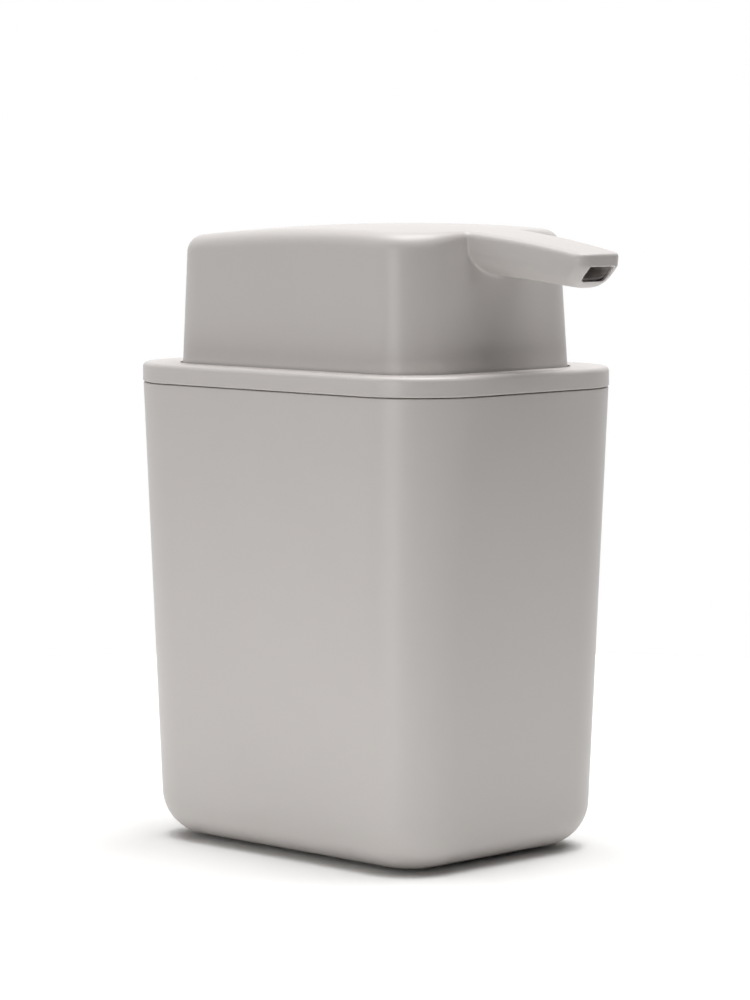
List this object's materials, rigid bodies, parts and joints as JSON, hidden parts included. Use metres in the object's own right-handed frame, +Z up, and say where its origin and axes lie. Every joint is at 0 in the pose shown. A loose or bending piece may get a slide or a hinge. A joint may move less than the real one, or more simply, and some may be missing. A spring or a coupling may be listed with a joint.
{
  "type": "dish soap dispenser",
  "caption": "Square counter-top soap pump: tapered refillable container, lift-off lid with a dip-tube pump, and a crowned press head that runs on into a short spout.",
  "frame": {"origin": "middle of the base pad's underside, on the surface that the dispenser stands on", "axes": "+Z up, the spout points along -Y, +X to the right of someone who stands before the spout and looks at it"},
  "size_m": [0.065, 0.1067, 0.1272],
  "materials": {
    "grey_moulded_plastic": "fine satin moulded surface, warm light grey",
    "dark_soft_elastomer": "matt, slightly tacky moulded elastomer",
    "clear_silicone": "translucent moulded silicone, soft sheen",
    "white_polypropylene": "satin injection moulding, white",
    "natural_polyethylene": "unpigmented, slightly milky, soft gloss",
    "stainless_steel": "drawn wire and polished ball, bright"
  },
  "bodies": {
    "container": {"container": "grey_moulded_plastic", "base_pad": "dark_soft_elastomer"},
    "lid": {"lid_collar": "grey_moulded_plastic", "lid_seal": "clear_silicone", "pump_nut": "white_polypropylene", "pump_gasket": "clear_silicone", "pump_cylinder": "natural_polyethylene", "stem_guide": "white_polypropylene", "dip_tube": "natural_polyethylene", "return_spring": "stainless_steel"},
    "head": {"head_shell": "grey_moulded_plastic", "spout_duct": "grey_moulded_plastic", "pump_stem": "white_polypropylene", "piston_rod": "white_polypropylene"},
    "piston": {"piston_seal": "natural_polyethylene"},
    "inlet_valve": {"inlet_ball": "stainless_steel"}
  },
  "joints": [
    {"name": "lid_lift", "type": "slide", "parent": "container", "child": "lid", "axis": [0, 0, 1], "range_m": [0, 0.092]},
    {"name": "head_press", "type": "slide", "parent": "lid", "child": "head", "axis": [0, 0, 1], "range_m": [-0.012, 0], "stiffness_N_per_m": 500, "springref_m": 0.008, "deforming": ["return_spring"]},
    {"name": "piston_shift", "type": "slide", "parent": "head", "child": "piston", "axis": [0, 0, 1], "range_m": [0, 0.001]},
    {"name": "inlet_ball_lift", "type": "slide", "parent": "lid", "child": "inlet_valve", "axis": [0, 0, 1], "range_m": [0, 0.0012]}
  ]
}
